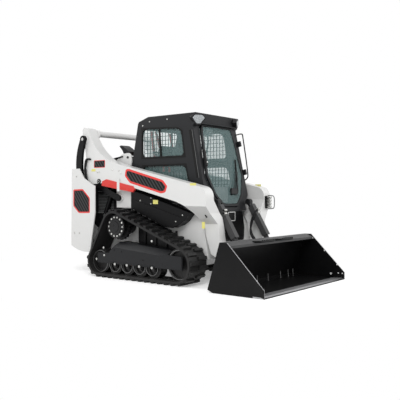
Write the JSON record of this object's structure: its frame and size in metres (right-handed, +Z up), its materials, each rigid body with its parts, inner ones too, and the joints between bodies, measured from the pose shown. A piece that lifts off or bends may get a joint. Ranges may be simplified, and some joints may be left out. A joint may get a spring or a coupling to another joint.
{
  "type": "compact track loader",
  "caption": "Compact rubber-track loader with an enclosed cab, a vertical-lift arm on links and cylinders, and a wide dirt bucket on a quick coupler.",
  "frame": {"origin": "on the ground under the middle of the overall length, between the tracks", "axes": "+X to the front, +Y to the machine's left, +Z up"},
  "size_m": [3.48, 1.88, 2.0582],
  "materials": {
    "white_paint": "satin",
    "black_paint": "satin",
    "charcoal_paint": "satin",
    "tinted_glass": "clear",
    "engine_metal": "satin",
    "dark_steel": "satin",
    "chrome_rod": "polished",
    "seat_vinyl": "matte",
    "black_plastic": "matte",
    "red_lens": "gloss",
    "track_rubber": "matte"
  },
  "bodies": {
    "lift_arms": {"arm_cross_tube": "white_paint", "arm_left": "white_paint", "arm_right": "white_paint", "leg_cross_tube": "white_paint"},
    "bucket": {"bucket": "black_paint", "coupler": "black_paint"},
    "chassis": {"cab_frame": "charcoal_paint", "chassis_tub": "white_paint", "engine": "engine_metal", "front_panel": "black_paint", "idlers_left": "dark_steel", "idlers_right": "dark_steel", "link_bracket_left": "white_paint", "link_bracket_right": "white_paint", "rear_bumper": "charcoal_paint", "rear_tower_left": "white_paint", "rear_tower_right": "white_paint", "rollers_left": "dark_steel", "rollers_right": "dark_steel", "seat": "seat_vinyl", "seat_base": "black_plastic", "side_glass": "tinted_glass", "side_panel_left": "black_paint", "side_panel_right": "black_paint", "sprocket_left": "dark_steel", "sprocket_right": "dark_steel", "suspension_axles": "dark_steel", "track_frame_left": "charcoal_paint", "track_frame_right": "charcoal_paint", "track_left": "track_rubber", "track_right": "track_rubber"},
    "control_links": {"control_links": "black_paint"},
    "cab_door": {"door_frame": "charcoal_paint", "door_glass": "tinted_glass"},
    "engine_lid": {"engine_lid": "black_paint"},
    "lift_barrels": {"lift_barrels": "black_paint"},
    "lift_rods": {"lift_rods": "chrome_rod"},
    "rear_links": {"rear_links": "black_paint"},
    "tailgate": {"tail_lamps": "red_lens", "tailgate": "white_paint"},
    "tilt_barrels": {"tilt_barrels": "dark_steel"},
    "tilt_rods": {"tilt_rods": "chrome_rod"}
  },
  "joints": [
    {"name": "rear_link_swing", "type": "hinge", "parent": "chassis", "child": "rear_links", "pos_m": [-1.22, 0, 1.05], "axis": [0, -1, 0], "range_deg": [-8, 0]},
    {"name": "arm_lift", "type": "hinge", "parent": "rear_links", "child": "lift_arms", "pos_m": [-1.262, 0, 1.804], "axis": [0, -1, 0], "range_deg": [0, 66]},
    {"name": "control_link_swing", "type": "hinge", "parent": "chassis", "child": "control_links", "pos_m": [-0.655, 0, 1.018], "axis": [0, -1, 0], "range_deg": [-70.5, 0]},
    {"name": "lift_barrel_swing", "type": "hinge", "parent": "chassis", "child": "lift_barrels", "pos_m": [-1.15, 0, 0.42], "axis": [0, -1, 0], "range_deg": [0, 3.6]},
    {"name": "lift_rod_extend", "type": "slide", "parent": "lift_barrels", "child": "lift_rods", "axis": [0.4244, 0, 0.9055], "range_m": [0, 0.702]},
    {"name": "bucket_tilt", "type": "hinge", "parent": "lift_arms", "child": "bucket", "pos_m": [1, 0, 0.27], "axis": [0, 1, 0], "range_deg": [-25, 100]},
    {"name": "tilt_barrel_swing", "type": "hinge", "parent": "lift_arms", "child": "tilt_barrels", "pos_m": [0.7, 0, 0.97], "axis": [0, 1, 0], "range_deg": [-1.1, 0.3]},
    {"name": "tilt_rod_extend", "type": "slide", "parent": "tilt_barrels", "child": "tilt_rods", "axis": [0.5114, 0, -0.8593], "range_m": [-0.046, 0.18]},
    {"name": "cab_door_swing", "type": "hinge", "parent": "chassis", "child": "cab_door", "pos_m": [0.5552, 0.395, 1.3501], "axis": [-0.225, 0, 0.9744], "range_deg": [0, 80]},
    {"name": "tailgate_swing", "type": "hinge", "parent": "chassis", "child": "tailgate", "pos_m": [-1.53, 0.48, 0.93], "axis": [0, 0, -1], "range_deg": [0, 100]},
    {"name": "engine_lid_lift", "type": "hinge", "parent": "chassis", "child": "engine_lid", "pos_m": [-0.76, 0, 1.567], "axis": [0, 1, 0], "range_deg": [0, 35]}
  ],
  "couplings": [
    {"joint": "rear_link_swing", "follows": "arm_lift", "ratio": -0.12},
    {"joint": "control_link_swing", "follows": "arm_lift", "ratio": -1.0619},
    {"joint": "lift_barrel_swing", "follows": "arm_lift", "ratio": 0.05242},
    {"joint": "lift_rod_extend", "follows": "arm_lift", "m_per_rad": 0.60715},
    {"joint": "tilt_barrel_swing", "follows": "bucket_tilt", "ratio": -0.01},
    {"joint": "tilt_rod_extend", "follows": "bucket_tilt", "m_per_rad": 0.1}
  ]
}
